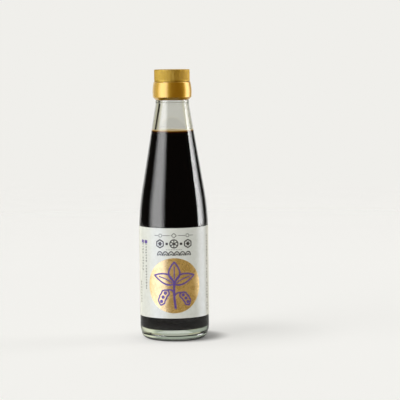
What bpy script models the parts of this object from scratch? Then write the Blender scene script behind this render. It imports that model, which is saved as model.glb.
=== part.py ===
"""Soy sauce bottle: clear glass with a long sloping shoulder, a gold pouring cap and a wrap-round paper label.

Metres, +Z up. The origin is the middle of the base, where the bottle stands, and the label's front faces -Y.
"""

from math import cos, pi, radians, sin, tan

import bmesh
import bpy

# Driving dimensions of the whole bottle
TOTAL_HEIGHT = 0.2014
BODY_RADIUS = 0.02575
NECK_RADIUS = 0.01255
GLASS_WALL = 0.0029
FILL_LEVEL = 0.1556
GAP = 0.0003
SIDES = 64
ARC_STEPS = 6
SMALL_ARC_STEPS = 3
MERGE = 0.00001

# Shoulder: a long arc out of the straight body, then a cone up to the neck
SHOULDER_FOOT = 0.0822
SHOULDER_ARC = 0.175
CONE_SLOPE = radians(9.56)
BEAD_FOOT = 0.1769
BEAD_TOP = 0.1786
BEAD_GROOVE = 0.0002
FINISH_RADIUS = 0.0119

# Foot: two arcs down to the ring that the bottle stands on, and a pushed-up base
HEEL_UPPER_ARC = 0.022
HEEL_TURN = radians(15)
HEEL_LOWER_ARC = 0.00622
STANDING_RING = 0.0016
BASE_RISE = 0.0034
FLOOR_LEVEL = 0.0082
FLOOR_CORNER = 0.005
FLOOR_RISE = 0.0012

# Pouring collar: a smooth gold ring that swells towards its hem, then tucks in to the neck
COLLAR_FOOT = 0.1790
COLLAR_TOP = 0.1923
COLLAR_BELLY = 0.0146
COLLAR_BELLY_LEVEL = 0.1847
COLLAR_TOP_RADIUS = 0.01365
COLLAR_FOOT_RADIUS = 0.0126
COLLAR_HEM_RADIUS = 0.01444
COLLAR_HEM_LEVEL = 0.1812
COLLAR_HEM_ARC = 0.0006
COLLAR_TUCK = radians(50)

# Screw lid: an upturned cup with fine upright grooves above a plain band
LID_FOOT = 0.1926
LID_RADIUS = 0.01325
LID_BORE = 0.0122
LID_CEILING = 0.0012
LID_EDGE = 0.0004
LID_BAND = 0.0012
GROOVES = 84
GROOVE_DEPTH = 0.0002
GROOVE_WIDTH = 0.0004
BAR_DEPTH = 0.001

# Label: paper wrapped almost all the way round
LABEL_FOOT = 0.0181
LABEL_TOP = 0.0852
LABEL_PAPER = 0.0002
LABEL_OPENING = 0.004
LABEL_STEPS = 64


def clear_scene():
    for thing in list(bpy.data.objects):
        bpy.data.objects.remove(thing, do_unlink=True)


def new_collection(name):
    group = bpy.data.collections.new(name)
    bpy.context.scene.collection.children.link(group)
    return group


def material(name, colour, roughness, metallic=0.0, clearness=0.0):
    made = bpy.data.materials.new(name)
    made.use_nodes = True
    shader = made.node_tree.nodes["Principled BSDF"]
    shader.inputs["Base Color"].default_value = (*colour, 1.0)
    shader.inputs["Roughness"].default_value = roughness
    shader.inputs["Metallic"].default_value = metallic
    shader.inputs["Transmission Weight"].default_value = clearness
    made.diffuse_color = (*colour, 1.0)
    return made


def arc(centre_x, centre_z, radius, start, end, steps, rise=None):
    """Points along an arc. Angles run from +X towards +Z, and rise is the upright half-axis of an ellipse."""
    points = []
    for step in range(steps + 1):
        turn = start + (end - start) * step / steps
        points.append((centre_x + radius * cos(turn), centre_z + (rise or radius) * sin(turn)))
    return points


def turned(name, outline, finish, group, sides=SIDES):
    """Turns an outline of (radius, height) points about +Z with a Screw modifier."""
    mesh = bpy.data.meshes.new(name)
    form = bmesh.new()
    points = [form.verts.new((x, 0.0, z)) for x, z in outline]
    for first, second in zip(points, points[1:]):
        form.edges.new((first, second))
    if outline[0][0] > 0:
        form.edges.new((points[-1], points[0]))
    form.to_mesh(mesh)
    form.free()
    piece = bpy.data.objects.new(name, mesh)
    group.objects.link(piece)
    piece.data.materials.append(finish)
    turn = piece.modifiers.new("Turn", "SCREW")
    turn.steps = sides
    turn.render_steps = sides
    turn.use_merge_vertices = True
    turn.merge_threshold = MERGE
    turn.use_smooth_shade = True
    return piece


def outer_glass():
    """The bottle's outside from the bead under the cap down to the middle of the pushed-up base."""
    arc_top = SHOULDER_FOOT + SHOULDER_ARC * sin(CONE_SLOPE)
    arc_top_radius = BODY_RADIUS - SHOULDER_ARC * (1 - cos(CONE_SLOPE))
    cone_top = arc_top + (arc_top_radius - NECK_RADIUS) / tan(CONE_SLOPE)
    bead = [
        (NECK_RADIUS - BEAD_GROOVE, BEAD_TOP),
        (NECK_RADIUS, BEAD_TOP - BEAD_GROOVE),
        (NECK_RADIUS, BEAD_FOOT + BEAD_GROOVE),
        (NECK_RADIUS - BEAD_GROOVE, BEAD_FOOT),
        (NECK_RADIUS, BEAD_FOOT - BEAD_GROOVE),
        (NECK_RADIUS, cone_top),
    ]
    shoulder = arc(BODY_RADIUS - SHOULDER_ARC, SHOULDER_FOOT, SHOULDER_ARC, CONE_SLOPE, 0.0, ARC_STEPS)
    heel_level = HEEL_UPPER_ARC * sin(HEEL_TURN) + HEEL_LOWER_ARC * (1 - sin(HEEL_TURN))
    upper_heel = arc(BODY_RADIUS - HEEL_UPPER_ARC, heel_level, HEEL_UPPER_ARC, 0.0, -HEEL_TURN, SMALL_ARC_STEPS)
    lower_centre = BODY_RADIUS - HEEL_UPPER_ARC + (HEEL_UPPER_ARC - HEEL_LOWER_ARC) * cos(HEEL_TURN)
    lower_heel = arc(lower_centre, HEEL_LOWER_ARC, HEEL_LOWER_ARC, -HEEL_TURN, -pi / 2, ARC_STEPS)
    ring = lower_centre - STANDING_RING
    base = arc(0.0, 0.0, ring, 0.0, pi / 2, ARC_STEPS, BASE_RISE)
    base[-1] = (0.0, BASE_RISE)
    return bead + shoulder + upper_heel + lower_heel[1:] + base


def inner_glass(inset=0.0):
    """The bottle's inside from the middle of its floor up to the neck, or a surface that far inside it."""
    wall = GLASS_WALL + inset
    inner_radius = BODY_RADIUS - wall
    corner = FLOOR_CORNER - inset
    floor = FLOOR_LEVEL + inset
    flat_radius = inner_radius - corner
    inner_arc = SHOULDER_ARC - wall
    neck_radius = NECK_RADIUS - wall
    arc_top = SHOULDER_FOOT + inner_arc * sin(CONE_SLOPE)
    arc_top_radius = inner_radius - inner_arc * (1 - cos(CONE_SLOPE))
    cone_top = arc_top + (arc_top_radius - neck_radius) / tan(CONE_SLOPE)
    middle = arc(0.0, floor, flat_radius, pi / 2, 0.0, SMALL_ARC_STEPS, FLOOR_RISE)
    middle[0] = (0.0, floor + FLOOR_RISE)
    bend = arc(flat_radius, floor + corner, corner, -pi / 2, 0.0, ARC_STEPS)
    shoulder = arc(inner_radius - inner_arc, SHOULDER_FOOT, inner_arc, 0.0, CONE_SLOPE, ARC_STEPS)
    return middle + bend[1:] + shoulder + [(neck_radius, cone_top)]


def make_glass(group):
    clear = material("clear glass", (0.93, 0.96, 0.92), 0.03, clearness=1.0)
    mouth = TOTAL_HEIGHT - LID_CEILING - GAP
    bore = NECK_RADIUS - GLASS_WALL
    finish = [
        (bore, mouth),
        (FINISH_RADIUS, mouth),
        (FINISH_RADIUS, BEAD_TOP),
    ]
    return turned("glass_bottle", inner_glass() + finish + outer_glass(), clear, group)


def make_sauce(group):
    """Soy sauce up to its level in the neck, a gap clear of the glass all round."""
    dark = material("soy sauce", (0.02, 0.006, 0.003), 0.05)
    inside = [point for point in inner_glass(GAP) if point[1] < FILL_LEVEL]
    last_radius, last_level = inside[-1]
    top_radius = last_radius - (FILL_LEVEL - last_level) * tan(CONE_SLOPE)
    surface = [(0.0, FILL_LEVEL), (top_radius, FILL_LEVEL)]
    return turned("soy_sauce", surface + inside[::-1], dark, group)


def make_collar(group):
    """Gold ring whose side swells from the top, turns over a small hem and slopes in to its foot."""
    gold = material("polished gold", (0.75, 0.5, 0.16), 0.15, metallic=1.0)
    bore = FINISH_RADIUS + GAP
    belly_reach = COLLAR_TOP - COLLAR_BELLY_LEVEL
    swell = COLLAR_BELLY - COLLAR_TOP_RADIUS
    side = []
    for step in range(ARC_STEPS):
        share = 1 - step / ARC_STEPS
        side.append((COLLAR_BELLY - swell * share * share, COLLAR_BELLY_LEVEL + belly_reach * share))
    side.append((COLLAR_BELLY, COLLAR_BELLY_LEVEL))
    hem_centre = COLLAR_HEM_RADIUS - COLLAR_HEM_ARC
    hem = arc(hem_centre, COLLAR_HEM_LEVEL, COLLAR_HEM_ARC, 0.0, -COLLAR_TUCK, SMALL_ARC_STEPS)
    foot = [(COLLAR_FOOT_RADIUS, COLLAR_FOOT), (bore, COLLAR_FOOT)]
    outline = [(bore, COLLAR_TOP)] + side + hem + foot
    return turned("pour_collar", outline, gold, group)


def make_lid(group, cutters):
    """Upturned cup with a rounded top edge. Grooves are cut in its side, and stop short of the plain band."""
    satin = material("satin gold", (0.72, 0.5, 0.2), 0.35, metallic=1.0)
    ceiling = TOTAL_HEIGHT - LID_CEILING
    edge = arc(LID_RADIUS - LID_EDGE, TOTAL_HEIGHT - LID_EDGE, LID_EDGE, pi / 2, 0.0, SMALL_ARC_STEPS)
    outline = [(0.0, TOTAL_HEIGHT)] + edge
    outline += [(LID_RADIUS, LID_FOOT), (LID_BORE, LID_FOOT), (LID_BORE, ceiling), (0.0, ceiling)]
    lid = turned("screw_lid", outline, satin, group, sides=GROOVES)
    cutter = groove_cutter(cutters)
    cut = lid.modifiers.new("Grooves", "BOOLEAN")
    cut.operation = "DIFFERENCE"
    cut.solver = "EXACT"
    cut.object = cutter
    return lid


def groove_cutter(group):
    """A ring of upright bars, one for each groove, that stand in the lid's side."""
    low = LID_FOOT + LID_BAND
    high = TOTAL_HEIGHT - LID_EDGE
    bars = bmesh.new()
    for number in range(GROOVES):
        turn = 2 * pi * (number + 0.5) / GROOVES
        outward = (cos(turn), sin(turn))
        across = (-sin(turn), cos(turn))
        made = bmesh.ops.create_cube(bars, size=1.0)["verts"]
        for vert in made:
            depth = LID_RADIUS * cos(pi / GROOVES) - GROOVE_DEPTH + (vert.co.x + 0.5) * BAR_DEPTH
            side = vert.co.y * GROOVE_WIDTH
            level = low if vert.co.z < 0 else high
            vert.co = (outward[0] * depth + across[0] * side, outward[1] * depth + across[1] * side, level)
    mesh = bpy.data.meshes.new("groove bars")
    bars.to_mesh(mesh)
    bars.free()
    cutter = bpy.data.objects.new("groove bars", mesh)
    group.objects.link(cutter)
    cutter.hide_render = True
    cutter.display_type = "WIRE"
    return cutter


def make_label(group):
    """A paper band, open at the back where its two ends stop short of each other."""
    paper = material("label paper", (0.74, 0.76, 0.7), 0.6)
    inner = BODY_RADIUS + GAP
    opening = LABEL_OPENING / inner
    sweep = 2 * pi - opening
    form = bmesh.new()
    columns = []
    for step in range(LABEL_STEPS + 1):
        turn = pi / 2 + opening / 2 + sweep * step / LABEL_STEPS
        low = form.verts.new((inner * cos(turn), inner * sin(turn), LABEL_FOOT))
        high = form.verts.new((inner * cos(turn), inner * sin(turn), LABEL_TOP))
        columns.append((low, high))
    for (low, high), (next_low, next_high) in zip(columns, columns[1:]):
        face = form.faces.new((low, next_low, next_high, high))
        face.smooth = True
    mesh = bpy.data.meshes.new("label")
    form.to_mesh(mesh)
    form.free()
    label = bpy.data.objects.new("label", mesh)
    group.objects.link(label)
    label.data.materials.append(paper)
    thick = label.modifiers.new("Paper", "SOLIDIFY")
    thick.thickness = LABEL_PAPER
    thick.offset = 1.0
    thick.use_even_offset = True
    return label


def main():
    clear_scene()
    parts = new_collection("soy sauce bottle")
    cutters = new_collection("cutters")
    make_glass(parts)
    make_sauce(parts)
    make_collar(parts)
    make_lid(parts, cutters)
    make_label(parts)


main()
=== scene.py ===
import random
from math import atan, cos, exp, pi, radians, sin, tan

import bmesh
import bpy
from mathutils import Matrix, Vector


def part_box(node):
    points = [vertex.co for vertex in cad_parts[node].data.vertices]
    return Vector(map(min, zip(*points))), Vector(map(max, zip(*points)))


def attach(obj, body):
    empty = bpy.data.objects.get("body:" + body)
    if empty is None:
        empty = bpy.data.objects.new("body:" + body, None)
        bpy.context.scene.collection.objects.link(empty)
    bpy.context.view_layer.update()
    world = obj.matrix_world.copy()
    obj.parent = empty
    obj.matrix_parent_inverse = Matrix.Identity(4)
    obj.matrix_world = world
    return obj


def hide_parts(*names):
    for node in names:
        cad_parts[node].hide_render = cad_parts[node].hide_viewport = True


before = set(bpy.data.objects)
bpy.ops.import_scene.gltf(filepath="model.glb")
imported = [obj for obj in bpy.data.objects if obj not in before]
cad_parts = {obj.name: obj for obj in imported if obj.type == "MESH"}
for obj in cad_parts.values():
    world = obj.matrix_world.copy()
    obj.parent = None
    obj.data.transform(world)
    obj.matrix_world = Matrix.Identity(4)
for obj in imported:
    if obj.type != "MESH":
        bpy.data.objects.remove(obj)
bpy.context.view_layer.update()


# Glass bottle
# One piece of clear, faintly green glass, blown in a mould and open at the mouth under the cap. The wall is
# 2.9 mm thick in the body and 3.5 mm in the neck. The base is thicker still and pushed up in the middle, and
# the seam between the mould's side and its bottom leaves a shallow notch above the foot.

glass_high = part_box("glass_bottle")[1]
BODY_RADIUS = glass_high.x
MOUTH = glass_high.z
WALL = 0.0029
NECK_WALL = 0.0035
NECK_RADIUS = 0.01255
FINISH_RADIUS = 0.0119
CONE_SLOPE = radians(9.56)
SHOULDER_FOOT = 0.0822
SHOULDER_ARC = 0.175
BEAD_FOOT = 0.1769
BEAD_TOP = 0.1786
BEAD_ROUND = 0.0003
HEEL_UPPER_ARC = 0.022
HEEL_TURN = radians(15)
HEEL_LOWER_ARC = 0.00622
NOTCH_DEPTH = 0.00027
NOTCH_LEVELS = (0.0059, 0.0049, 0.0043)
STANDING_RING = 0.0016
BASE_RISE = 0.0034
FLOOR_LEVEL = 0.0082
FLOOR_CORNER = 0.009
FLOOR_RISE = 0.0003
GLASS_SIDES = 256
ON_AXIS = 1e-7
SHARP_EDGE = radians(40)
GLASS_INDEX = 1.52
GLASS_TINT = (0.84, 0.885, 0.83)
GLASS_DENSITY = 40.0


def arc(centre_x, centre_z, radius, start, end, steps, rise=None):
    """Outline points along an arc. Angles run from +X to +Z, and rise is an ellipse's upright half-axis."""
    points = []
    for step in range(steps + 1):
        turn = start + (end - start) * step / steps
        points.append((centre_x + radius * cos(turn), centre_z + (rise or radius) * sin(turn)))
    return points


def straight(first, last, steps):
    """Outline points between two ends, without the first."""
    points = []
    for step in range(1, steps + 1):
        share = step / steps
        points.append(tuple(a + (b - a) * share for a, b in zip(first, last)))
    return points


def piece_of(name, form):
    """Makes a bmesh a smooth-shaded object that stays sharp at its real edges."""
    mesh = bpy.data.meshes.new(name)
    form.to_mesh(mesh)
    form.free()
    mesh.shade_smooth()
    mesh.set_sharp_from_angle(angle=SHARP_EDGE)
    piece = bpy.data.objects.new(name, mesh)
    bpy.context.scene.collection.objects.link(piece)
    return piece


def turned(name, outline, sides):
    """Turns an outline about +Z. It runs down the outside. One that begins off the axis is a closed ring."""
    form = bmesh.new()
    rings = []
    for radius, level in outline:
        if radius < ON_AXIS:
            rings.append([form.verts.new((0.0, 0.0, level))])
            continue
        ring = []
        for side in range(sides):
            turn = 2 * pi * side / sides
            ring.append(form.verts.new((radius * cos(turn), radius * sin(turn), level)))
        rings.append(ring)
    pairs = list(zip(rings, rings[1:]))
    if len(rings[0]) > 1:
        pairs.append((rings[-1], rings[0]))
    for upper, lower in pairs:
        for side in range(sides):
            following = (side + 1) % sides
            corners = [upper[side % len(upper)], lower[side % len(lower)],
                       lower[following % len(lower)], upper[following % len(upper)]]
            form.faces.new(list(dict.fromkeys(corners)))
    return piece_of(name, form)


def outer_glass():
    """The outside, from the bead under the cap down to the middle of the pushed-up base."""
    arc_top = SHOULDER_FOOT + SHOULDER_ARC * sin(CONE_SLOPE)
    arc_top_radius = BODY_RADIUS - SHOULDER_ARC * (1 - cos(CONE_SLOPE))
    cone_top = arc_top + (arc_top_radius - NECK_RADIUS) / tan(CONE_SLOPE)
    round_centre = NECK_RADIUS - BEAD_ROUND
    outline = arc(round_centre, BEAD_TOP - BEAD_ROUND, BEAD_ROUND, pi / 2, 0.0, 6)
    outline += arc(round_centre, BEAD_FOOT + BEAD_ROUND, BEAD_ROUND, 0.0, -pi / 3, 6)
    outline += arc(round_centre, BEAD_FOOT - BEAD_ROUND, BEAD_ROUND, pi / 3, 0.0, 6)
    outline += straight(outline[-1], (NECK_RADIUS, cone_top), 3)
    outline += straight((NECK_RADIUS, cone_top), (arc_top_radius, arc_top), 24)
    outline += arc(BODY_RADIUS - SHOULDER_ARC, SHOULDER_FOOT, SHOULDER_ARC, CONE_SLOPE, 0.0, 24)[1:]
    heel_level = HEEL_UPPER_ARC * sin(HEEL_TURN) + HEEL_LOWER_ARC * (1 - sin(HEEL_TURN))
    outline += straight(outline[-1], (BODY_RADIUS, heel_level), 20)
    outline += arc(BODY_RADIUS - HEEL_UPPER_ARC, heel_level, HEEL_UPPER_ARC, 0.0, -HEEL_TURN, 10)[1:]
    lower_centre = BODY_RADIUS - HEEL_UPPER_ARC + (HEEL_UPPER_ARC - HEEL_LOWER_ARC) * cos(HEEL_TURN)
    outline += arc(lower_centre, HEEL_LOWER_ARC, HEEL_LOWER_ARC, -HEEL_TURN, -pi / 2, 24)[1:]
    notch_top, notch_middle, notch_foot = NOTCH_LEVELS
    above = [point for point in outline if point[1] > notch_top]
    below = [point for point in outline if point[1] < notch_foot]
    base = arc(0.0, 0.0, lower_centre - STANDING_RING, 0.0, pi / 2, 20, BASE_RISE)
    base[-1] = (0.0, BASE_RISE)
    return above + [(below[0][0] - NOTCH_DEPTH, notch_middle)] + below + base


def inner_glass(inset=0.0):
    """The inside, from the middle of the floor up to the top of the cone, or a surface that far inside it."""
    wall = WALL + inset
    inner_radius = BODY_RADIUS - wall
    corner = FLOOR_CORNER - inset
    floor_level = FLOOR_LEVEL + inset
    flat_radius = inner_radius - corner
    inner_arc = SHOULDER_ARC - wall
    arc_top = SHOULDER_FOOT + inner_arc * sin(CONE_SLOPE)
    arc_top_radius = inner_radius - inner_arc * (1 - cos(CONE_SLOPE))
    neck_radius = NECK_RADIUS - NECK_WALL - inset
    cone_top = arc_top + (arc_top_radius - NECK_RADIUS + wall) / tan(CONE_SLOPE)
    outline = arc(0.0, floor_level, flat_radius, pi / 2, 0.0, 12, FLOOR_RISE)
    outline[0] = (0.0, floor_level + FLOOR_RISE)
    outline += arc(flat_radius, floor_level + corner, corner, -pi / 2, 0.0, 16)[1:]
    outline += straight(outline[-1], (inner_radius, SHOULDER_FOOT), 20)
    outline += arc(inner_radius - inner_arc, SHOULDER_FOOT, inner_arc, 0.0, CONE_SLOPE, 24)[1:]
    return outline + straight(outline[-1], (neck_radius, cone_top), 24)


def glass_outline():
    bore = NECK_RADIUS - NECK_WALL
    finish = [(bore, MOUTH), (FINISH_RADIUS, MOUTH), (FINISH_RADIUS, BEAD_TOP)]
    return inner_glass() + finish + outer_glass()


def add(tree, kind, inputs=None, **settings):
    """Adds a node, sets its inputs from values or other nodes' sockets, and gives its first output."""
    made = tree.nodes.new(kind)
    for key, value in settings.items():
        setattr(made, key, value)
    for key, value in (inputs or {}).items():
        if isinstance(value, bpy.types.NodeSocket):
            tree.links.new(value, made.inputs[key])
        else:
            made.inputs[key].default_value = value
    return made.outputs[0]


def new_material(name, colour):
    """A node material with its tree, its shader and the piece's own Object coordinates."""
    made = bpy.data.materials.new(name)
    made.use_nodes = True
    made.diffuse_color = (*colour, 1.0)
    tree = made.node_tree
    shader = tree.nodes["Principled BSDF"]
    place = tree.nodes.new("ShaderNodeTexCoord").outputs["Object"]
    return made, tree, shader, place


def glass_material():
    """Clear glass that turns pale green where light travels far through it, as in the base."""
    made, tree, shader, place = new_material("clear glass", (0.9, 0.95, 0.9))
    shader.inputs["Base Color"].default_value = (1.0, 1.0, 1.0, 1.0)
    shader.inputs["Roughness"].default_value = 0.0
    shader.inputs["IOR"].default_value = GLASS_INDEX
    shader.inputs["Transmission Weight"].default_value = 1.0
    ripple = add(tree, "ShaderNodeTexNoise", {"Vector": place, "Scale": 60.0, "Detail": 1.0})
    bump = add(tree, "ShaderNodeBump", {"Height": ripple, "Strength": 0.04, "Distance": 0.001})
    tree.links.new(bump, shader.inputs["Normal"])
    tint = add(tree, "ShaderNodeVolumeAbsorption", {"Color": (*GLASS_TINT, 1.0), "Density": GLASS_DENSITY})
    tree.links.new(tint, tree.nodes["Material Output"].inputs["Volume"])
    return made


glass = turned("bottle_glass", glass_outline(), GLASS_SIDES)
glass.data.materials.append(glass_material())
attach(glass, "root")
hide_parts("glass_bottle")


# Soy sauce
# A dark brown, almost black liquid that fills the bottle up into the neck. It is drawn opaque. The light that
# gets through it where it is thin, along the edge that creeps up the glass round its surface, is painted in
# as amber that glows.

SAUCE_LEVEL = 0.1556
CREEP_HEIGHT = 0.0009
CREEP_LENGTH = 0.0013
CREEP_CLEARANCE = 0.003
REACH_INTO_WALL = 0.00012
SURFACE_STEPS = (0.009, 0.006, 0.004, 0.003, 0.0022, 0.0016, 0.0011, 0.0007, 0.0004, 0.0002, 0.0)
# Painted backlight: amber that brightens towards the creeping edge, down the side and on the top just inside
# the edge.
SIDE_BACKLIT_HEIGHT = 0.003
SIDE_BACKLIT_COLOURS = [(0.0, (0.0020, 0.0009, 0.0005)), (0.3, (0.010, 0.0025, 0.0006)), (0.5, (0.032, 0.008, 0.001)),
                (0.68, (0.19, 0.065, 0.005)), (0.84, (0.66, 0.40, 0.11)), (1.0, (0.95, 0.76, 0.46))]
TOP_BACKLIT_WIDTH = 0.004
TOP_BACKLIT_COLOURS = [(0.0, (0.035, 0.020, 0.010)), (0.3, (0.12, 0.075, 0.035)), (0.6, (0.50, 0.35, 0.17)),
               (0.8, (0.90, 0.72, 0.44)), (1.0, (0.98, 0.86, 0.62))]
TOP_DEPTH = 0.0001
TOP_INSET = 0.00004
SAUCE_PAINTED_GLOW = 0.45
SAUCE_INDEX = 1.36


def inner_slope():
    """How far the glass's inside leans in per unit of height, in the cone."""
    (low_radius, low_level), (high_radius, high_level) = inner_glass()[-2:]
    return (low_radius - high_radius) / (high_level - low_level)


def sauce_side():
    """The side's points from the floor up, and the tip of the edge that creeps up above them."""
    level = SAUCE_LEVEL + CREEP_HEIGHT
    below = [point for point in inner_glass(-REACH_INTO_WALL) if point[1] < level - CREEP_CLEARANCE]
    last_radius, last_level = below[-1]
    return below, (last_radius - (level - last_level) * inner_slope(), level)


def sauce_outline():
    """Runs from the middle of the surface out to the creeping edge, and down inside the wall."""
    below, (edge, level) = sauce_side()
    surface = [(0.0, SAUCE_LEVEL)]
    for distance in SURFACE_STEPS:
        surface.append((edge - distance, SAUCE_LEVEL + CREEP_HEIGHT * exp(-distance / CREEP_LENGTH)))
    return surface + straight(surface[-1], below[-1], 12) + below[-2::-1]


def calc(tree, operation, *values):
    return add(tree, "ShaderNodeMath", dict(enumerate(values)), operation=operation)


def split(tree, vector):
    """The X, Y and Z of a vector."""
    made = tree.nodes.new("ShaderNodeSeparateXYZ")
    tree.links.new(vector, made.inputs[0])
    return made.outputs


def from_axis(tree, x, y):
    """The distance of a place from the upright axis."""
    return calc(tree, "SQRT", calc(tree, "ADD", calc(tree, "MULTIPLY", x, x), calc(tree, "MULTIPLY", y, y)))


def ramp(tree, share, stops):
    """A colour for a share between 0 and 1, from stops of a position and a colour each."""
    made = tree.nodes.new("ShaderNodeValToRGB")
    tree.links.new(share, made.inputs["Fac"])
    ends = made.color_ramp.elements
    for place in (0, -1):
        ends[place].position = stops[place][0]
        ends[place].color = (*stops[place][1], 1.0)
    for position, colour in stops[1:-1]:
        ends.new(position).color = (*colour, 1.0)
    return made.outputs["Color"]


def sauce_material():
    """Nearly black, with painted backlight where it is thin: glowing amber down the side below the creeping
    edge, and just inside it.
    """
    made, tree, shader, place = new_material("soy sauce", (0.02, 0.007, 0.004))
    x, y, z = split(tree, place)
    edge, level = sauce_side()[1]
    height = add(tree, "ShaderNodeMapRange", {0: z, 1: level - SIDE_BACKLIT_HEIGHT, 2: level, 3: 0.0, 4: 1.0})
    wall = calc(tree, "MULTIPLY_ADD", calc(tree, "SUBTRACT", level, z), inner_slope(), edge)
    inward = calc(tree, "SUBTRACT", wall, from_axis(tree, x, y))
    closeness = add(tree, "ShaderNodeMapRange", {0: inward, 1: 0.0, 2: TOP_BACKLIT_WIDTH, 3: 1.0, 4: 0.0})
    near_surface = calc(tree, "GREATER_THAN", z, SAUCE_LEVEL - TOP_DEPTH)
    on_top = calc(tree, "MULTIPLY", calc(tree, "GREATER_THAN", inward, TOP_INSET), near_surface)
    mixed = tree.nodes.new("ShaderNodeMix")
    mixed.data_type = "RGBA"
    tree.links.new(on_top, mixed.inputs[0])
    tree.links.new(ramp(tree, height, SIDE_BACKLIT_COLOURS), mixed.inputs[6])
    tree.links.new(ramp(tree, closeness, TOP_BACKLIT_COLOURS), mixed.inputs[7])
    tree.links.new(mixed.outputs[2], shader.inputs["Base Color"])
    # Painted glow: the same colour also shines, so that the thin amber edge looks lit from behind.
    tree.links.new(mixed.outputs[2], shader.inputs["Emission Color"])
    shader.inputs["Emission Strength"].default_value = SAUCE_PAINTED_GLOW
    shader.inputs["Roughness"].default_value = 0.0
    shader.inputs["IOR"].default_value = SAUCE_INDEX
    shader.inputs["Specular Tint"].default_value = (0.1, 0.1, 0.1, 1.0)
    return made


sauce = turned("sauce", sauce_outline(), GLASS_SIDES)
sauce.data.materials.append(sauce_material())
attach(sauce, "root")
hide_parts("soy_sauce")


# Paper label
# Uncoated off-white paper glued round the body, with its two ends a few millimetres apart at the back.
# It carries a foil disc and two kinds of print, which follow as pieces of their own.

label_low, label_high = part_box("label")
LABEL_FOOT = label_low.z
LABEL_TOP = label_high.z
GLUE = 0.00001
PAPER_THICKNESS = 0.00012
PAPER_INNER = BODY_RADIUS + GLUE
PAPER_OUTER = PAPER_INNER + PAPER_THICKNESS
PAPER_EDGE = 0.00003
LABEL_OPENING = 0.004
PAPER_STEPS = 300
PAPER_ROWS = 12
PAPER_DULL = (0.70, 0.72, 0.67)
PAPER_BRIGHT = (0.78, 0.80, 0.76)
PAPER_SHEEN = (1.0, 0.93, 0.72)


def paper_band():
    """A thin closed band with eased outer edges and flat ends."""
    inner, outer, ease = PAPER_INNER, PAPER_OUTER, PAPER_EDGE
    section = [(inner, LABEL_TOP), (outer - ease, LABEL_TOP), (outer, LABEL_TOP - ease)]
    section += straight(section[-1], (outer, LABEL_FOOT + ease), PAPER_ROWS)
    section += [(outer - ease, LABEL_FOOT), (inner, LABEL_FOOT)]
    section += straight(section[-1], (inner, LABEL_TOP), PAPER_ROWS)[:-1]
    opening = LABEL_OPENING / BODY_RADIUS
    form = bmesh.new()
    columns = []
    for step in range(PAPER_STEPS + 1):
        turn = pi / 2 + opening / 2 + (2 * pi - opening) * step / PAPER_STEPS
        places = [(radius * cos(turn), radius * sin(turn), level) for radius, level in section]
        columns.append([form.verts.new(place) for place in places])
    for first, second in zip(columns, columns[1:]):
        for place in range(len(section)):
            after = (place + 1) % len(section)
            form.faces.new((first[place], first[after], second[after], second[place]))
    form.faces.new(columns[0][::-1])
    form.faces.new(columns[-1])
    bmesh.ops.recalc_face_normals(form, faces=form.faces)
    return piece_of("paper_label", form)


def paper_material():
    """Off-white paper: fine fibres that show as faint streaks, a soft sheen and a very slight tooth."""
    made, tree, shader, place = new_material("label paper", (0.73, 0.75, 0.71))
    stretched = add(tree, "ShaderNodeMapping", {"Vector": place, "Scale": (1.0, 1.0, 0.35)})
    grain = {"Vector": stretched, "Scale": 2600.0, "Detail": 4.0, "Roughness": 0.6}
    fibre = add(tree, "ShaderNodeTexNoise", grain)
    cloud = add(tree, "ShaderNodeTexNoise", {"Vector": place, "Scale": 320.0, "Detail": 2.0})
    mean = calc(tree, "MULTIPLY", calc(tree, "ADD", fibre, cloud), 0.5)
    tone = ramp(tree, mean, [(0.35, PAPER_DULL), (0.65, PAPER_BRIGHT)])
    tree.links.new(tone, shader.inputs["Base Color"])
    bump = add(tree, "ShaderNodeBump", {"Height": fibre, "Strength": 0.15, "Distance": 0.00005})
    tree.links.new(bump, shader.inputs["Normal"])
    shader.inputs["Roughness"].default_value = 0.2
    shader.inputs["Specular Tint"].default_value = (*PAPER_SHEEN, 1.0)
    return made


paper = paper_band()
paper.data.materials.append(paper_material())
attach(paper, "root")
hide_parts("label")


# Foil disc
# A round of thin gold foil pressed on the front of the label. Its fine creases and slight sag catch the light
# unevenly. It is cut flat, in narrow upright strips, and then wrapped round the bottle.

DISC_LEVEL = 0.0425
DISC_RADIUS = 0.0205
DISC_SIDES = 128
FOIL_STRIPS = 57
FOIL = 0.00002
SINK = 0.00001
FOIL_DARK = (0.565, 0.395, 0.145)
FOIL_PALE = (0.73, 0.535, 0.22)


def new_geometry_tree(name, named_inputs):
    """A Geometry Nodes tree with a Geometry input and output, and the named inputs with their kinds."""
    tree = bpy.data.node_groups.new(name, "GeometryNodeTree")
    tree.interface.new_socket("Geometry", in_out="INPUT", socket_type="NodeSocketGeometry")
    tree.interface.new_socket("Geometry", in_out="OUTPUT", socket_type="NodeSocketGeometry")
    for label, kind in named_inputs:
        tree.interface.new_socket(label, in_out="INPUT", socket_type=kind)
    return tree, tree.nodes.new("NodeGroupInput").outputs


def close_tree(tree, geometry, finish):
    """Ends a tree: real geometry, with its material set."""
    real = add(tree, "GeometryNodeRealizeInstances", {0: geometry})
    painted = add(tree, "GeometryNodeSetMaterial", {"Geometry": real, "Material": finish})
    end = tree.nodes.new("NodeGroupOutput")
    tree.links.new(painted, end.inputs[0])


def run_tree(piece, tree, values):
    """Runs a tree on a piece with its inputs set, and gives the result as a plain mesh of the same name."""
    modifier = piece.modifiers.new(tree.name, "NODES")
    modifier.node_group = tree
    for socket in tree.interface.items_tree:
        if socket.in_out == "INPUT" and socket.name in values:
            modifier[socket.identifier] = values[socket.name]
    bpy.context.view_layer.update()
    evaluated = piece.evaluated_get(bpy.context.evaluated_depsgraph_get())
    mesh = bpy.data.meshes.new_from_object(evaluated)
    name = piece.name
    bpy.data.objects.remove(piece)
    mesh.name = name
    made = bpy.data.objects.new(name, mesh)
    bpy.context.scene.collection.objects.link(made)
    return made


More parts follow.
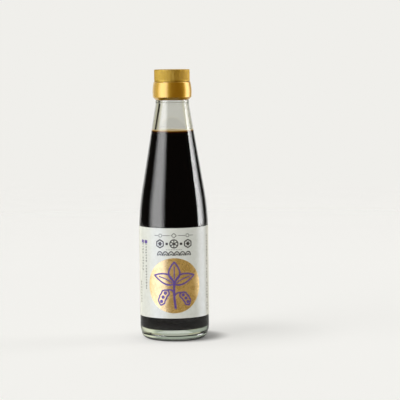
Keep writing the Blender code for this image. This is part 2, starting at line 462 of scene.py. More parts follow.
def wrap_tree():
    """Wraps a flat form round the upright axis: X runs round from the front, Y is the level, Z the height."""
    named_inputs = [("Radius", "NodeSocketFloat"), ("Finish", "NodeSocketMaterial")]
    tree, given = new_geometry_tree("wrap round the bottle", named_inputs)
    x, y, z = split(tree, add(tree, "GeometryNodeInputPosition"))
    angle = calc(tree, "DIVIDE", x, given["Radius"])
    reach = calc(tree, "ADD", z, given["Radius"])
    round_x = calc(tree, "MULTIPLY", calc(tree, "SINE", angle), reach)
    round_y = calc(tree, "MULTIPLY", calc(tree, "MULTIPLY", calc(tree, "COSINE", angle), reach), -1.0)
    place = add(tree, "ShaderNodeCombineXYZ", {0: round_x, 1: round_y, 2: y})
    wrapped = add(tree, "GeometryNodeSetPosition", {"Geometry": given["Geometry"], "Position": place})
    close_tree(tree, wrapped, given["Finish"])
    return tree


WRAP = wrap_tree()


def wrapped_print(name, form, finish):
    """Wraps a flat form round the paper, with every face turned outwards."""
    piece = run_tree(piece_of(name, form), WRAP, {"Radius": PAPER_OUTER, "Finish": finish})
    form = bmesh.new()
    form.from_mesh(piece.data)
    bmesh.ops.recalc_face_normals(form, faces=form.faces)
    form.to_mesh(piece.data)
    form.free()
    return piece


def foil_disc(finish):
    form = bmesh.new()
    middle = Matrix.Translation((0.0, DISC_LEVEL, (FOIL - SINK) / 2))
    bmesh.ops.create_cone(form, cap_ends=True, segments=DISC_SIDES, radius1=DISC_RADIUS, radius2=DISC_RADIUS,
                          depth=FOIL + SINK, matrix=middle)
    for strip in range(1, FOIL_STRIPS):
        cut = -DISC_RADIUS + 2 * DISC_RADIUS * strip / FOIL_STRIPS
        geometry = form.verts[:] + form.edges[:] + form.faces[:]
        bmesh.ops.bisect_plane(form, geom=geometry, plane_co=(cut, 0.0, 0.0), plane_no=(1.0, 0.0, 0.0))
    return wrapped_print("foil_disc", form, finish)


def foil_material():
    """Gold foil with fine creases and a mottled sheen, as foil pressed on paper has."""
    made, tree, shader, place = new_material("gold foil", (0.80, 0.60, 0.27))
    grain = {"Vector": place, "Scale": 300.0, "Detail": 3.0, "Distortion": 0.3}
    crease = add(tree, "ShaderNodeTexNoise", grain)
    sag = add(tree, "ShaderNodeTexNoise", {"Vector": place, "Scale": 90.0, "Detail": 1.0})
    relief = calc(tree, "MULTIPLY_ADD", sag, 3.0, crease)
    tree.links.new(ramp(tree, crease, [(0.3, FOIL_DARK), (0.7, FOIL_PALE)]), shader.inputs["Base Color"])
    bump = add(tree, "ShaderNodeBump", {"Height": relief, "Strength": 0.4, "Distance": 0.00014})
    tree.links.new(bump, shader.inputs["Normal"])
    rough = add(tree, "ShaderNodeMapRange", {0: crease, 3: 0.20, 4: 0.36})
    tree.links.new(rough, shader.inputs["Roughness"])
    shader.inputs["Metallic"].default_value = 0.62
    shader.inputs["Coat Weight"].default_value = 0.1
    shader.inputs["Coat Roughness"].default_value = 0.25
    return made


foil = foil_disc(foil_material())
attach(foil, "root")


# Violet print
# Violet ink on the foil and the paper: a soybean sprig with leaves and pods, and two short bars at the left.
# It is thin raised ink, drawn flat in millimetres and then wrapped round the bottle.

MM = 0.001
INK = 0.00002
INK_LAYER = 0.0000004
INK_LAYERS = 12
DOT_LIFT = 0.000006
DOT_SIDES = 20
LINE_STEP = 0.0005
STEM_LINE = 1.6
STALK_LINE = 1.1
LEAF_LINE = 1.15
MIDRIB_LINE = 0.8
POD_LINE = 1.05
BAR_LINE = 3.2
BAR_PLACES = (-28.3, -23.9)
BAR_TOP = 75.6
BAR_FOOT = 73.3
BAR_LEAN = 0.2
VIOLET = (0.105, 0.055, 0.29)
INK_ROUGHNESS = 0.45


def ribbon_tree():
    """Turns flat lines into ribbons: as wide as each line's stroke, and as thick as the ink."""
    named_inputs = [("Ink", "NodeSocketFloat"), ("Finish", "NodeSocketMaterial")]
    tree, given = new_geometry_tree("ribbons along lines", named_inputs)
    lines = add(tree, "GeometryNodeMeshToCurve", {"Mesh": given["Geometry"]})
    upright = add(tree, "GeometryNodeSetCurveNormal", {"Curve": lines}, mode="Z_UP")
    width = add(tree, "GeometryNodeInputNamedAttribute", {"Name": "stroke"}, data_type="FLOAT")
    base = add(tree, "GeometryNodeInputNamedAttribute", {"Name": "base"}, data_type="FLOAT")
    section = add(tree, "GeometryNodeCurvePrimitiveQuadrilateral", {"Width": 1.0, "Height": 1.0})
    section = add(tree, "GeometryNodeSubdivideCurve", {"Curve": section, "Cuts": 1})
    path = {"Curve": upright, "Profile Curve": section, "Scale": width, "Fill Caps": True}
    ribbon = add(tree, "GeometryNodeCurveToMesh", path)
    x, y, z = split(tree, add(tree, "GeometryNodeInputPosition"))
    share = calc(tree, "ADD", calc(tree, "DIVIDE", z, width), 0.5)
    height = calc(tree, "ADD", calc(tree, "MULTIPLY", share, given["Ink"]), base)
    flat = add(tree, "ShaderNodeCombineXYZ", {0: x, 1: y, 2: height})
    laid = add(tree, "GeometryNodeSetPosition", {"Geometry": ribbon, "Position": flat})
    close_tree(tree, laid, given["Finish"])
    return tree


RIBBONS = ribbon_tree()


def dense(points, closed):
    """The same line with a point at least every half millimetre, so that it can bend round the bottle."""
    ends = list(zip(points, points[1:]))
    if closed:
        ends.append((points[-1], points[0]))
    out = [points[0]]
    for first, last in ends:
        count = max(1, int((Vector(last) - Vector(first)).length / LINE_STEP + 0.999))
        out += straight(first, last, count)
    return out[:-1] if closed else out


def smooth(points, steps=6):
    """A smooth line through points, by a spline that passes through each."""
    out = []
    last = len(points) - 1
    for place in range(last):
        a, b, c, d = [Vector(points[min(max(place + offset, 0), last)]) for offset in (-1, 0, 1, 2)]
        for step in range(steps):
            t = step / steps
            out.append(tuple(0.5 * ((2 * b) + (c - a) * t + (2 * a - 5 * b + 4 * c - d) * t * t
                                    + (3 * b - a - 3 * c + d) * t * t * t)))
    return out + [tuple(points[-1])]


class Drawing:
    """A flat drawing in millimetres, of lines and round dots at slightly different heights."""

    def __init__(self, base):
        self.lines = []
        self.dots = []
        self.base = base

    def line(self, points, stroke, closed=False):
        self.lines.append(([(x * MM, y * MM) for x, y in points], stroke * MM, closed))

    def ring(self, x, y, radius, stroke, corners, turn=0.0):
        points = []
        for corner in range(corners):
            angle = turn + 2 * pi * corner / corners
            points.append((x + radius * cos(angle), y + radius * sin(angle)))
        self.line(points, stroke, True)

    def dot(self, x, y, radius):
        self.dots.append((x * MM, y * MM, radius * MM))

    def piece(self, name, finish):
        """Makes the ribbons and dots, joins them in one piece and wraps it round the bottle."""
        form = bmesh.new()
        stroke_layer = form.verts.layers.float.new("stroke")
        base_layer = form.verts.layers.float.new("base")
        for number, (points, stroke, closed) in enumerate(self.lines):
            made = []
            for x, y in dense(points, closed):
                corner = form.verts.new((x, y, 0.0))
                corner[stroke_layer] = stroke
                corner[base_layer] = self.base + INK_LAYER * (number % INK_LAYERS)
                made.append(corner)
            for pair in list(zip(made, made[1:])) + ([(made[-1], made[0])] if closed else []):
                form.edges.new(pair)
        flat = run_tree(piece_of(name, form), RIBBONS, {"Ink": INK + SINK, "Finish": finish})
        form = bmesh.new()
        form.from_mesh(flat.data)
        bpy.data.objects.remove(flat)
        for x, y, radius in self.dots:
            middle = Matrix.Translation((x, y, self.base + DOT_LIFT + (INK + SINK) / 2))
            bmesh.ops.create_cone(form, cap_ends=True, segments=DOT_SIDES, radius1=radius, radius2=radius,
                                  depth=INK + SINK, matrix=middle)
        return wrapped_print(name, form, finish)


def ink_material(name, colour):
    """Ink that covers the paper not quite evenly."""
    made, tree, shader, place = new_material(name, colour)
    cover = add(tree, "ShaderNodeTexNoise", {"Vector": place, "Scale": 1500.0, "Detail": 3.0})
    thin, thick = [tuple(c * share for c in colour) for share in (0.85, 1.15)]
    tree.links.new(ramp(tree, cover, [(0.3, thin), (0.7, thick)]), shader.inputs["Base Color"])
    shader.inputs["Roughness"].default_value = INK_ROUGHNESS
    return made


def bowed(foot, tip, bow):
    """Gives a function for points: a share of the way from foot to tip, and a distance to one side."""
    along = Vector((tip[0] - foot[0], tip[1] - foot[1]))
    across = Vector((-along.y, along.x)).normalized()

    def at(share, side):
        return tuple(Vector(foot) + along * share + across * (side + bow * sin(pi * share)))
    return at


def leaf(drawing, foot, tip, half_width, bow):
    """A pointed oval leaf with a midrib, bowed to one side."""
    at = bowed(foot, tip, bow)
    edge = [at(0.0, 0.0), at(0.18, half_width * 0.72), at(0.45, half_width), at(0.75, half_width * 0.62),
            at(1.0, 0.0), at(0.75, -half_width * 0.62), at(0.45, -half_width), at(0.18, -half_width * 0.72)]
    drawing.line(smooth(edge[:5]) + smooth(edge[4:] + edge[:1])[1:-1], LEAF_LINE, True)
    drawing.line(smooth([at(0.1, 0.0), at(0.4, 0.0), at(0.78, 0.0)]), MIDRIB_LINE)


def pod(drawing, foot, tip, half_width, bow):
    """A bent pod with three beans in it."""
    at = bowed(foot, tip, bow)
    wide, waist = half_width, half_width * 0.9
    upper = [at(0.0, 0.0), at(0.1, waist * 0.8), at(0.22, wide), at(0.36, waist), at(0.5, wide),
             at(0.64, waist), at(0.78, wide * 0.95), at(0.9, waist * 0.6), at(1.0, 0.0)]
    lower = [at(0.9, -waist * 0.6), at(0.78, -wide * 0.95), at(0.64, -waist), at(0.5, -wide),
             at(0.36, -waist), at(0.22, -wide), at(0.1, -waist * 0.8)]
    edge = smooth(upper, steps=4) + smooth([upper[-1]] + lower + [upper[0]], steps=4)[1:-1]
    drawing.line(edge, POD_LINE, True)
    for share in (0.22, 0.5, 0.77):
        drawing.dot(*at(share, 0.0), half_width * 0.46)


def sprig(drawing, level):
    """A soybean sprig: a stem with three leaves at its top and two hanging pods, each on its stalk."""
    stem = [(0.9, level - 17.2), (0.3, level - 12.5), (-0.2, level - 6.0), (0.0, level + 3.5)]
    drawing.line(smooth(stem), STEM_LINE)
    leaf(drawing, (0.0, level + 3.2), (0.0, level + 17.6), 4.2, 0.0)
    leaf(drawing, (-0.3, level + 1.2), (-15.4, level + 7.6), 3.6, -1.2)
    leaf(drawing, (0.3, level + 1.2), (15.4, level + 7.6), 3.6, 1.2)
    drawing.line(smooth([(-0.2, level - 5.0), (-2.4, level - 3.0), (-5.0, level - 3.2)]), STALK_LINE)
    drawing.line(smooth([(0.0, level - 7.4), (2.2, level - 5.4), (4.6, level - 5.2)]), STALK_LINE)
    pod(drawing, (-5.0, level - 3.2), (-10.6, level - 14.6), 2.8, -0.9)
    pod(drawing, (4.6, level - 5.2), (11.2, level - 14.6), 2.6, 0.9)


violet_drawing = Drawing(FOIL - SINK)
sprig(violet_drawing, DISC_LEVEL / MM)
for bar_place in BAR_PLACES:
    violet_drawing.line([(bar_place, BAR_TOP), (bar_place - BAR_LEAN, BAR_FOOT)], BAR_LINE)
violet = violet_drawing.piece("violet_print", ink_material("violet ink", VIOLET))
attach(violet, "root")


# Dark print
# Near-black ink on the paper: rows of marks above the foil, columns of fine print at the sides, and two ruled
# panels at the back. None of it is lettering: small crossed strokes stand for the fine print.

DARK = (0.022, 0.020, 0.018)
DRAW_SEED = 11
CHAIN_LEVEL = 79.7
CHAIN_LINE = 0.35
CHAIN_LINKS = ((3.0, 8.6), (12.0, 15.0))
CHAIN_RING_PLACE = 10.3
CHAIN_RING = 1.2
LOZENGE_REACH = (1.9, 1.7)
LOZENGE_LINE = 0.4
MARK_LEVEL = 73.6
MARK_SIZE = 3.0
MARK_SPACING = 10.6
HEXAGON_LINE = 0.85
STAR_RING_LINE = 0.8
STAR_RAY_LINE = 0.7
SQUARE_PLACE = 5.3
SQUARE_REACH = 0.9
SQUARE_LINE = 1.7
DOT_ROW_LEVEL = 69.3
DOT_ROW_START = -5.4
DOT_ROW_PITCH = 1.2
DOT_ROW_COUNT = 10
DOT_ROW_RADIUS = 0.26
WAVE_LEVEL = 64.8
WAVE_PITCH = 4.3
WAVE_COUNT = 6
WAVE_ARCS = ((0.46, 0.75), (0.2, 0.7))
WAVE_RISE = 1.5
WAVE_STEPS = 10
FINE_PRINT = ((-28.3, 72.6, 52.8), (-23.9, 72.6, 37.6), (-31.9, 43.7, 28.5), (31.6, 78.0, 21.4))
FINE_LINES = (0.42, 0.38, 0.32)
FINE_RISE = 0.65
FINE_FOOT = 0.6
PANEL_NEAR = 44.0
PANEL_FAR = 73.0
PANEL_TOP = 79.0
PANEL_FOOT = 25.0
PANEL_FRAME_LINE = 0.3
PANEL_ROW = 4.5
PANEL_ROWS = 12
PANEL_ROW_LINE = 0.15
PANEL_TEXT_LINE = 0.5
PANEL_TEXT_RISE = 2.2
PANEL_MARGIN = 1.5
PANEL_TEXT_GAP = 1.1


def hexagon_mark(drawing, x, y, size):
    """A tortoiseshell hexagon with a six-petalled flower in it."""
    drawing.ring(x, y, size, HEXAGON_LINE, 6, pi / 2)
    for petal in range(6):
        turn = petal * pi / 3
        ends = [(x + cos(turn) * size * share, y + sin(turn) * size * share) for share in (0.2, 0.55)]
        drawing.line(ends, HEXAGON_LINE)
    drawing.dot(x, y, size * 0.2)


def star_mark(drawing, x, y, size):
    """A ring with a six-rayed hemp-leaf star in it."""
    drawing.ring(x, y, size, STAR_RING_LINE, 24)
    for ray in range(3):
        turn = pi / 6 + ray * pi / 3
        ends = [(x + cos(turn) * size * side, y + sin(turn) * size * side) for side in (1, -1)]
        drawing.line(ends, STAR_RAY_LINE)
    drawing.dot(x, y, size * 0.3)


def wave_row(drawing, y):
    """A row of wave scales: two arcs in each."""
    for place in range(WAVE_COUNT):
        middle = WAVE_PITCH * (place - (WAVE_COUNT - 1) / 2)
        for share, stroke in WAVE_ARCS:
            radius = WAVE_PITCH * share
            drawing.line(arc(middle, y, radius, 0.0, pi, WAVE_STEPS, radius * WAVE_RISE), stroke)


def chain_row(drawing, y):
    """A thin line across the label, with a lozenge in its middle and a ring at each side."""
    for side in (-1, 1):
        inner, outer = CHAIN_LINKS
        drawing.line([(inner[0] * side, y), (inner[1] * side, y)], CHAIN_LINE)
        drawing.ring(CHAIN_RING_PLACE * side, y, CHAIN_RING, CHAIN_LINE, 16)
        drawing.line([(outer[0] * side, y), (outer[1] * side, y)], CHAIN_LINE)
    wide, high = LOZENGE_REACH
    drawing.line([(0.0, y + high), (wide, y), (0.0, y - high), (-wide, y)], LOZENGE_LINE, True)


def fine_print(drawing, x, top, foot, draw):
    """A column of small crossed strokes that stand for fine print, each a little different."""
    across, upright, under = FINE_LINES
    y = top
    while y > foot:
        lean = draw.uniform(-0.25, 0.25)
        reach = draw.uniform(0.55, 0.95)
        drawing.line([(x - reach, y + lean), (x + reach, y - lean)], across)
        aside = draw.uniform(-0.45, 0.45)
        drawing.line([(x + aside, y + FINE_RISE), (x + aside * 0.4, y - FINE_RISE)], upright)
        if draw.random() < 0.6:
            drawing.line([(x - reach * 0.7, y - FINE_FOOT), (x + reach * 0.7, y - FINE_FOOT)], under)
        y -= draw.uniform(1.95, 2.3) * (1.9 if draw.random() < 0.1 else 1.0)


def back_panel(drawing, side, draw):
    """A ruled panel with strokes for text. The back isn't seen, so that this is a guess."""
    near, far = PANEL_NEAR * side, PANEL_FAR * side
    frame_line = [(near, PANEL_TOP), (far, PANEL_TOP), (far, PANEL_FOOT), (near, PANEL_FOOT)]
    drawing.line(frame_line, PANEL_FRAME_LINE, True)
    for row in range(1, PANEL_ROWS):
        level = PANEL_TOP - PANEL_ROW * row
        drawing.line([(near, level), (far, level)], PANEL_ROW_LINE)
        start = min(near, far) + PANEL_MARGIN
        end = max(near, far) - PANEL_MARGIN
        text_level = level + PANEL_TEXT_RISE
        while start < end - PANEL_MARGIN:
            reach = draw.uniform(1.2, 4.5)
            drawing.line([(start, text_level), (min(start + reach, end), text_level)], PANEL_TEXT_LINE)
            start += reach + PANEL_TEXT_GAP


def dark_drawing():
    draw = random.Random(DRAW_SEED)
    drawing = Drawing(-SINK)
    chain_row(drawing, CHAIN_LEVEL)
    for x in (-MARK_SPACING, MARK_SPACING):
        hexagon_mark(drawing, x, MARK_LEVEL, MARK_SIZE)
    star_mark(drawing, 0.0, MARK_LEVEL, MARK_SIZE)
    for x in (-SQUARE_PLACE, SQUARE_PLACE):
        drawing.line([(x - SQUARE_REACH, MARK_LEVEL), (x + SQUARE_REACH, MARK_LEVEL)], SQUARE_LINE)
    for place in range(DOT_ROW_COUNT):
        drawing.dot(DOT_ROW_START + DOT_ROW_PITCH * place, DOT_ROW_LEVEL, DOT_ROW_RADIUS)
    wave_row(drawing, WAVE_LEVEL)
    for x, top, foot in FINE_PRINT:
        fine_print(drawing, x, top, foot, draw)
    for side in (-1, 1):
        back_panel(drawing, side, draw)
    return drawing


dark = dark_drawing().piece("dark_print", ink_material("dark ink", DARK))
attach(dark, "root")


# Pouring collar
# A smooth ring of polished gold-lacquered metal, pressed over the top of the neck. Its side swells
# from a rounded shoulder down to a small hem, and slopes in to the glass under it.

collar_low, collar_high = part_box("pour_collar")
COLLAR_TOP = collar_high.z
COLLAR_FOOT = collar_low.z
COLLAR_BELLY = collar_high.x
COLLAR_BELLY_LEVEL = 0.1847
COLLAR_SHOULDER = 0.0139
COLLAR_SHOULDER_LEVEL = 0.1913
COLLAR_SHOULDER_FLATNESS = 0.6
COLLAR_SWELL_STEPS = 14
COLLAR_BORE = 0.0122
COLLAR_HEM_RADIUS = 0.01444
COLLAR_HEM_LEVEL = 0.1812
COLLAR_HEM_ARC = 0.0006
COLLAR_TUCK = radians(50)
COLLAR_FOOT_RADIUS = 0.0126
COLLAR_SIDES = 192
POLISHED_GOLD = (0.50, 0.29, 0.025)


def collar_outline():
    rounding = COLLAR_TOP - COLLAR_SHOULDER_LEVEL
    width = rounding * COLLAR_SHOULDER_FLATNESS
    outline = arc(COLLAR_SHOULDER - width, COLLAR_SHOULDER_LEVEL, width, pi / 2, 0.0, 8, rounding)
    reach = COLLAR_SHOULDER_LEVEL - COLLAR_BELLY_LEVEL
    swell = COLLAR_BELLY - COLLAR_SHOULDER
    for step in range(1, COLLAR_SWELL_STEPS + 1):
        share = 1 - step / COLLAR_SWELL_STEPS
        outline.append((COLLAR_BELLY - swell * share * share, COLLAR_BELLY_LEVEL + reach * share))
    outline += straight(outline[-1], (COLLAR_HEM_RADIUS, COLLAR_HEM_LEVEL), 6)
    hem_centre = COLLAR_HEM_RADIUS - COLLAR_HEM_ARC
    outline += arc(hem_centre, COLLAR_HEM_LEVEL, COLLAR_HEM_ARC, 0.0, -COLLAR_TUCK, 8)[1:]
    outline += [(COLLAR_FOOT_RADIUS, COLLAR_FOOT), (COLLAR_BORE, COLLAR_FOOT)]
    return outline + [(COLLAR_BORE, COLLAR_TOP)]


def gold_material(name, colour, roughness, stretch, depth, coat):
    """Gold lacquer on metal under a clear coat, with fine drawing marks along or round the axis."""
    made, tree, shader, place = new_material(name, colour)
    stretched = add(tree, "ShaderNodeMapping", {"Vector": place, "Scale": stretch})
    marks = add(tree, "ShaderNodeTexNoise", {"Vector": stretched, "Scale": 900.0, "Detail": 3.0})
    wander = add(tree, "ShaderNodeTexNoise", {"Vector": place, "Scale": 180.0, "Detail": 2.0})
    rough = add(tree, "ShaderNodeMapRange", {0: wander, 3: roughness * 0.85, 4: roughness * 1.15})
    tree.links.new(rough, shader.inputs["Roughness"])
    dull, bright = [tuple(c * share for c in colour) for share in (0.94, 1.05)]
    tree.links.new(ramp(tree, marks, [(0.3, dull), (0.7, bright)]), shader.inputs["Base Color"])
    bump = add(tree, "ShaderNodeBump", {"Height": marks, "Strength": depth, "Distance": 0.00005})
    tree.links.new(bump, shader.inputs["Normal"])
    shader.inputs["Metallic"].default_value = 1.0
    shader.inputs["Coat Weight"].default_value = coat
    shader.inputs["Coat Roughness"].default_value = 0.12
    shader.inputs["Coat IOR"].default_value = 1.5
    return made


collar = turned("gold_collar", collar_outline(), COLLAR_SIDES)
collar.data.materials.append(gold_material("polished gold", POLISHED_GOLD, 0.34, (1.0, 1.0, 14.0), 0.1, 1.0))
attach(collar, "root")
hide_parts("pour_collar")


# Screw lid
# An upturned cup of satin gold metal that closes on the collar. Fine upright grooves for the fingers
# run down its side and stop above a plain band at its foot.

lid_low, lid_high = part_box("screw_lid")
LID_OVERLAP = 0.00022
LID_FOOT = lid_low.z - LID_OVERLAP
LID_TOP = lid_high.z
LID_RADIUS = lid_high.x
LID_BORE = 0.0122
LID_CEILING = 0.0012
LID_EDGE = 0.0005
LID_RIM = 0.0016
LID_BAND = 0.0012
LID_BAND_EDGE = 0.0002
GROOVES = 84
GROOVE_DEPTH = 0.00016
GROOVE_END = 0.0005
GROOVE_RUN_OUT = 0.0004
SIDES_PER_GROOVE = 8
SATIN_GOLD = (0.42, 0.265, 0.032)


def groove_tree():
    """Presses upright grooves into the outer side of a turned cup, between two levels."""
    tree, given = new_geometry_tree("upright grooves", [
        ("Grooves", "NodeSocketInt"), ("Depth", "NodeSocketFloat"), ("Side radius", "NodeSocketFloat"),
        ("Low level", "NodeSocketFloat"), ("High level", "NodeSocketFloat"), ("Run-out", "NodeSocketFloat"),
        ("Finish", "NodeSocketMaterial")])
    x, y, z = split(tree, add(tree, "GeometryNodeInputPosition"))
    turn = calc(tree, "MULTIPLY", calc(tree, "ARCTAN2", y, x), given["Grooves"])
    wave = calc(tree, "POWER", calc(tree, "MULTIPLY_ADD", calc(tree, "COSINE", turn), 0.5, 0.5), 2.0)
    radius = from_axis(tree, x, y)
    inside = calc(tree, "SUBTRACT", given["Side radius"], given["Run-out"])
    outside = calc(tree, "GREATER_THAN", radius, inside)
    above = calc(tree, "DIVIDE", calc(tree, "SUBTRACT", z, given["Low level"]), given["Run-out"])
    below = calc(tree, "DIVIDE", calc(tree, "SUBTRACT", given["High level"], z), given["Run-out"])
    above = add(tree, "ShaderNodeClamp", {0: above})
    below = add(tree, "ShaderNodeClamp", {0: below})
    cut = calc(tree, "MULTIPLY", wave, calc(tree, "MULTIPLY", above, below))
    cut = calc(tree, "MULTIPLY", cut, calc(tree, "MULTIPLY", outside, given["Depth"]))
    share = calc(tree, "DIVIDE", calc(tree, "MULTIPLY", cut, -1.0), radius)
    push_x = calc(tree, "MULTIPLY", x, share)
    push_y = calc(tree, "MULTIPLY", y, share)
    push = add(tree, "ShaderNodeCombineXYZ", {0: push_x, 1: push_y})
    moved = add(tree, "GeometryNodeSetPosition", {"Geometry": given["Geometry"], "Offset": push})
    close_tree(tree, moved, given["Finish"])
    return tree


def lid_outline():
    ceiling = LID_TOP - LID_CEILING
    side_top = LID_TOP - LID_EDGE
    band_top = LID_FOOT + LID_BAND
    outline = [(0.0, LID_TOP), (LID_RADIUS * 0.5, LID_TOP), (LID_RADIUS - LID_RIM, LID_TOP)]
    outline += arc(LID_RADIUS - LID_EDGE, side_top, LID_EDGE, pi / 2, 0.0, 8)
    outline += straight((LID_RADIUS, side_top), (LID_RADIUS, side_top - GROOVE_END), 4)
    outline += straight((LID_RADIUS, side_top - GROOVE_END), (LID_RADIUS, band_top + GROOVE_END), 6)
    outline += straight((LID_RADIUS, band_top + GROOVE_END), (LID_RADIUS, band_top), 4)
    outline += [(LID_RADIUS, LID_FOOT + LID_BAND_EDGE), (LID_RADIUS - LID_BAND_EDGE, LID_FOOT)]
    return outline + [(LID_BORE, LID_FOOT), (LID_BORE, ceiling), (0.0, ceiling)]


satin_gold = gold_material("satin gold", SATIN_GOLD, 0.50, (1.0, 1.0, 0.06), 0.15, 0.12)
lid = turned("gold_lid", lid_outline(), GROOVES * SIDES_PER_GROOVE)
lid = run_tree(lid, groove_tree(), {
    "Grooves": GROOVES, "Depth": GROOVE_DEPTH, "Side radius": LID_RADIUS, "Low level": LID_FOOT + LID_BAND,
    "High level": LID_TOP - LID_EDGE, "Run-out": GROOVE_RUN_OUT, "Finish": satin_gold})
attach(lid, "root")
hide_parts("screw_lid")


# Floor
# A plain pale surface that melts into the pale surroundings with distance, so that no horizon shows.
# The soft dark round the bottle's foot is painted in its glow, and rough reflections don't see it.

FLOOR_SIZE = 1.6
FLOOR_SIDES = 96
FLOOR_FADE = (0.25, 0.95)
FLOOR_COLOUR = (0.45, 0.446, 0.43)
FLOOR_GLOW = (0.524, 0.519, 0.503)
SURROUNDINGS = (0.871, 0.863, 0.831)
MIRRORED_LOSS = -0.9
SHADOWS = [((0.009, 0.006, 0.0), 0.019, 0.035, 0.8), ((0.05, 0.015, 0.0), 0.02, 0.09, 0.12)]


def length(tree, vector):
    """The length of a vector."""
    made = tree.nodes.new("ShaderNodeVectorMath")
    made.operation = "LENGTH"
    tree.links.new(vector, made.inputs[0])
    return made.outputs["Value"]


def eased(tree, value, start, end, low, high):
    """Goes smoothly from low to high while a value goes from start to end."""
    return add(tree, "ShaderNodeMapRange", {0: value, 1: start, 2: end, 3: low, 4: high},
               interpolation_type="SMOOTHSTEP")


def floor_material():
    """Evenly lit by its own glow as well as by the studio's lights, so that shadows stay soft and pale."""
    made, tree, shader, place = new_material("pale floor", SURROUNDINGS)
    shader.inputs["Base Color"].default_value = (*FLOOR_COLOUR, 1.0)
    shader.inputs["Roughness"].default_value = 0.9
    shader.inputs["Specular IOR Level"].default_value = 0.0
    shader.inputs["Emission Color"].default_value = (*FLOOR_GLOW, 1.0)
    sight = tree.nodes.new("ShaderNodeLightPath").outputs
    mirrored = calc(tree, "MULTIPLY", sight["Is Singular Ray"], sight["Is Reflection Ray"])
    unsharp = calc(tree, "SUBTRACT", 1.0, sight["Is Singular Ray"])
    blurred = calc(tree, "MULTIPLY", sight["Is Glossy Ray"], unsharp)
    strength = calc(tree, "MULTIPLY_ADD", mirrored, MIRRORED_LOSS, 1.0)
    for middle, inside, outside, darkness in SHADOWS:
        offset = add(tree, "ShaderNodeVectorMath", {0: place, 1: middle}, operation="SUBTRACT")
        light = eased(tree, length(tree, offset), inside, outside, 1.0 - darkness, 1.0)
        strength = calc(tree, "MULTIPLY", strength, light)
    tree.links.new(strength, shader.inputs["Emission Strength"])
    fade_start, fade_end = FLOOR_FADE
    fade = eased(tree, length(tree, place), FLOOR_SIZE * fade_start, FLOOR_SIZE * fade_end, 1.0, 0.0)
    seen = calc(tree, "MULTIPLY_ADD", blurred, -1.0, 1.0)
    tree.links.new(calc(tree, "MULTIPLY", fade, seen), shader.inputs["Alpha"])
    return made


floor_form = bmesh.new()
bmesh.ops.create_circle(floor_form, cap_ends=True, cap_tris=False, segments=FLOOR_SIDES, radius=FLOOR_SIZE)
floor = piece_of("floor", floor_form)
floor.data.materials.append(floor_material())


# Studio
# Plain soft light in pale surroundings: a tall wide softbox on the left, and a narrow one on the right and
# slightly behind. Nothing shines from the front, so the sauce looks black between two bright stripes.

DEGREES = 180 / pi
LEFT_BOX = (-81.6, -36.6)
WIDE_LEFT = (-81.6, -29.0)
FAR_LEFT = (-150.0, -70.0)
RIGHT_BOX = (90.5, 113.0)
WIDE_RIGHT = (86.0, 122.0)
RIGHT_BEHIND = (119.0, 142.5)
BESIDE = (100.0, 152.0)
BEHIND_RIGHT = 147.0
BEHIND_LEFT = -141.5
STRAIGHT_BEHIND = 163.0
AWAY = 95.0
BOX_HEIGHTS = (-40.0, 62.0)
CEILING = 66.0
LOW = -55.0
RAISED = (10.0, 60.0)
BEYOND = 400.0

# Light that falls on what is matt, such as the paper and the floor
SPREAD = {"ground": (0.30, 0.30, 0.293), "left": (2.3, 2.3, 2.3), "right": (2.0, 2.0, 2.0),
          "behind": (0.3, 0.3, 0.29), "above": (0.8, 0.8, 0.8)}
# Light in blurred reflections, on the gold and the foil
GLOSSY = {"ground": (0.34, 0.23, 0.04), "wide left": (2.2, 2.6, 4.5), "far left": (0.6, 0.65, 0.55),
          "wide right": (2.9, 3.1, 4.0), "behind": (0.5, 0.55, 0.6), "above": (0.5, 0.55, 0.6),
          "low": (-0.28, -0.195, -0.035)}
# Light in sharp reflections, on the glass and the sauce
SHARP = {"ground": (0.03, 0.03, 0.028), "left": (6.5, 6.5, 6.5), "right": (11.0, 11.0, 11.0),
         "behind": (0.8, 0.8, 0.77), "above": (0.4, 0.4, 0.4)}
# Light seen through the neck
THROUGH_NECK = {"ground": (0.012, 0.011, 0.006), "left": (1.1, 1.1, 1.0), "right": (1.6, 1.6, 1.55),
                "behind": (0.52, 0.49, 0.36), "straight behind": (0.02, 0.04, 0.12),
                "right behind": (0.32, 0.30, 0.20)}
# Light seen through the base, which turns the view upwards
THROUGH_BASE = {"ground": (0.44, 0.47, 0.41), "beside": (0.55, 0.50, 0.38)}


def band(tree, value, start, end, soft, end_soft=None):
    """1 between two values, easing to 0 over the soft range about each end."""
    near, far = soft / 2, (end_soft or soft) / 2
    rising = eased(tree, value, start - near, start + near, 0.0, 1.0)
    falling = eased(tree, value, end - far, end + far, 1.0, 0.0)
    return calc(tree, "MULTIPLY", rising, falling)


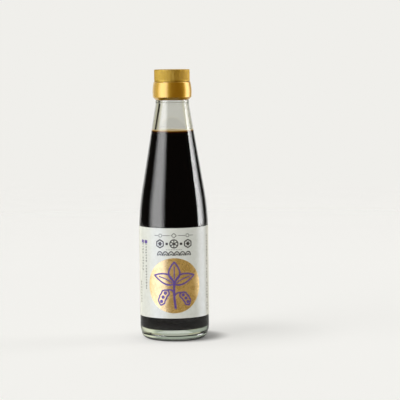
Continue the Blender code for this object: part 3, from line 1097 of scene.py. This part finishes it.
def studio_masks(tree):
    """Where each light is: azimuth is 0 at the camera's side and grows towards the right, both in degrees."""
    x, y, z = split(tree, tree.nodes.new("ShaderNodeTexCoord").outputs["Generated"])
    azimuth = calc(tree, "MULTIPLY", calc(tree, "ARCTAN2", x, calc(tree, "MULTIPLY", y, -1.0)), DEGREES)
    elevation = calc(tree, "MULTIPLY", calc(tree, "ARCSINE", z), DEGREES)
    away = calc(tree, "ABSOLUTE", azimuth)
    tall = band(tree, elevation, *BOX_HEIGHTS, 10.0)
    raised = band(tree, elevation, *RAISED, 1.0)
    behind_right = band(tree, azimuth, BEHIND_RIGHT, BEYOND, 3.0)
    behind_left = band(tree, azimuth, -BEYOND, BEHIND_LEFT, 4.0)
    return {
        "left": calc(tree, "MULTIPLY", band(tree, azimuth, *LEFT_BOX, 32.0, 23.0), tall),
        "wide left": calc(tree, "MULTIPLY", band(tree, azimuth, *WIDE_LEFT, 32.0, 20.0), tall),
        "far left": calc(tree, "MULTIPLY", band(tree, azimuth, *FAR_LEFT, 20.0), tall),
        "right": calc(tree, "MULTIPLY", band(tree, azimuth, *RIGHT_BOX, 5.0, 34.0), tall),
        "wide right": calc(tree, "MULTIPLY", band(tree, azimuth, *WIDE_RIGHT, 16.0, 34.0), tall),
        "behind": calc(tree, "ADD", behind_right, behind_left),
        "straight behind": band(tree, away, STRAIGHT_BEHIND, BEYOND, 6.0),
        "right behind": band(tree, azimuth, *RIGHT_BEHIND, 6.0, 3.0),
        "beside": band(tree, azimuth, *BESIDE, 16.0),
        "above": band(tree, elevation, CEILING, BEYOND, 12.0),
        "low": band(tree, elevation, -BEYOND, LOW, 20.0),
        "raised": calc(tree, "MULTIPLY", raised, band(tree, away, AWAY, BEYOND, 20.0)),
    }


def layered(tree, masks, lights):
    """The ground's colour, with the colour of each light added where its mask is."""
    made = add(tree, "ShaderNodeCombineXYZ", dict(enumerate(lights["ground"])))
    for name, colour in lights.items():
        if name != "ground":
            parts = {0: masks[name], 1: colour, 2: made}
            made = add(tree, "ShaderNodeVectorMath", parts, operation="MULTIPLY_ADD")
    return made


def swap(tree, share, first, second):
    """The first colour, or the second where share is 1."""
    change = add(tree, "ShaderNodeVectorMath", {0: second, 1: first}, operation="SUBTRACT")
    return add(tree, "ShaderNodeVectorMath", {0: change, 1: share, 2: first}, operation="MULTIPLY_ADD")


world = bpy.data.worlds.new("studio")
bpy.context.scene.world = world
bpy.context.scene.view_settings.view_transform = "Standard"
world.use_nodes = True
world.cycles.sampling_method = "NONE"
sky = world.node_tree
masks = studio_masks(sky)
sight = sky.nodes.new("ShaderNodeLightPath").outputs
through = swap(sky, masks["raised"], layered(sky, masks, THROUGH_NECK), layered(sky, masks, THROUGH_BASE))
light = swap(sky, sight["Is Glossy Ray"], layered(sky, masks, SPREAD), layered(sky, masks, GLOSSY))
mirrored = calc(sky, "MULTIPLY", sight["Is Singular Ray"], sight["Is Reflection Ray"])
light = swap(sky, mirrored, light, layered(sky, masks, SHARP))
light = swap(sky, sight["Is Transmission Ray"], light, through)
surroundings = add(sky, "ShaderNodeCombineXYZ", dict(enumerate(SURROUNDINGS)))
light = swap(sky, sight["Is Camera Ray"], light, surroundings)
sky.links.new(light, sky.nodes["Background"].inputs["Color"])


# Camera
# A long lens a little above the bottle, turned slightly to the right and rolled by about half a degree.
# Its pixel sizes are those of a picture 400 pixels wide.

CAMERA_DISTANCE = 1.4175
CAMERA_HEIGHT = 0.230
FOCAL_PIXELS = 1900.0
PICTURE_PIXELS = 400.0
AXIS_PIXELS = 26.75
SENSOR = 36.0
PITCH = radians(5.0966)
TURN_RIGHT = atan(AXIS_PIXELS / FOCAL_PIXELS)
ROLL = radians(0.6)

camera_data = bpy.data.cameras.new("camera")
camera_data.sensor_width = SENSOR
camera_data.lens = FOCAL_PIXELS / PICTURE_PIXELS * SENSOR
camera = bpy.data.objects.new("camera", camera_data)
bpy.context.scene.collection.objects.link(camera)
look = Vector((sin(TURN_RIGHT) * cos(PITCH), cos(TURN_RIGHT) * cos(PITCH), -sin(PITCH)))
aim = look.to_track_quat("-Z", "Y").to_matrix().to_4x4() @ Matrix.Rotation(-ROLL, 4, "Z")
camera.matrix_world = Matrix.Translation((0.0, -CAMERA_DISTANCE, CAMERA_HEIGHT)) @ aim
bpy.context.scene.camera = camera
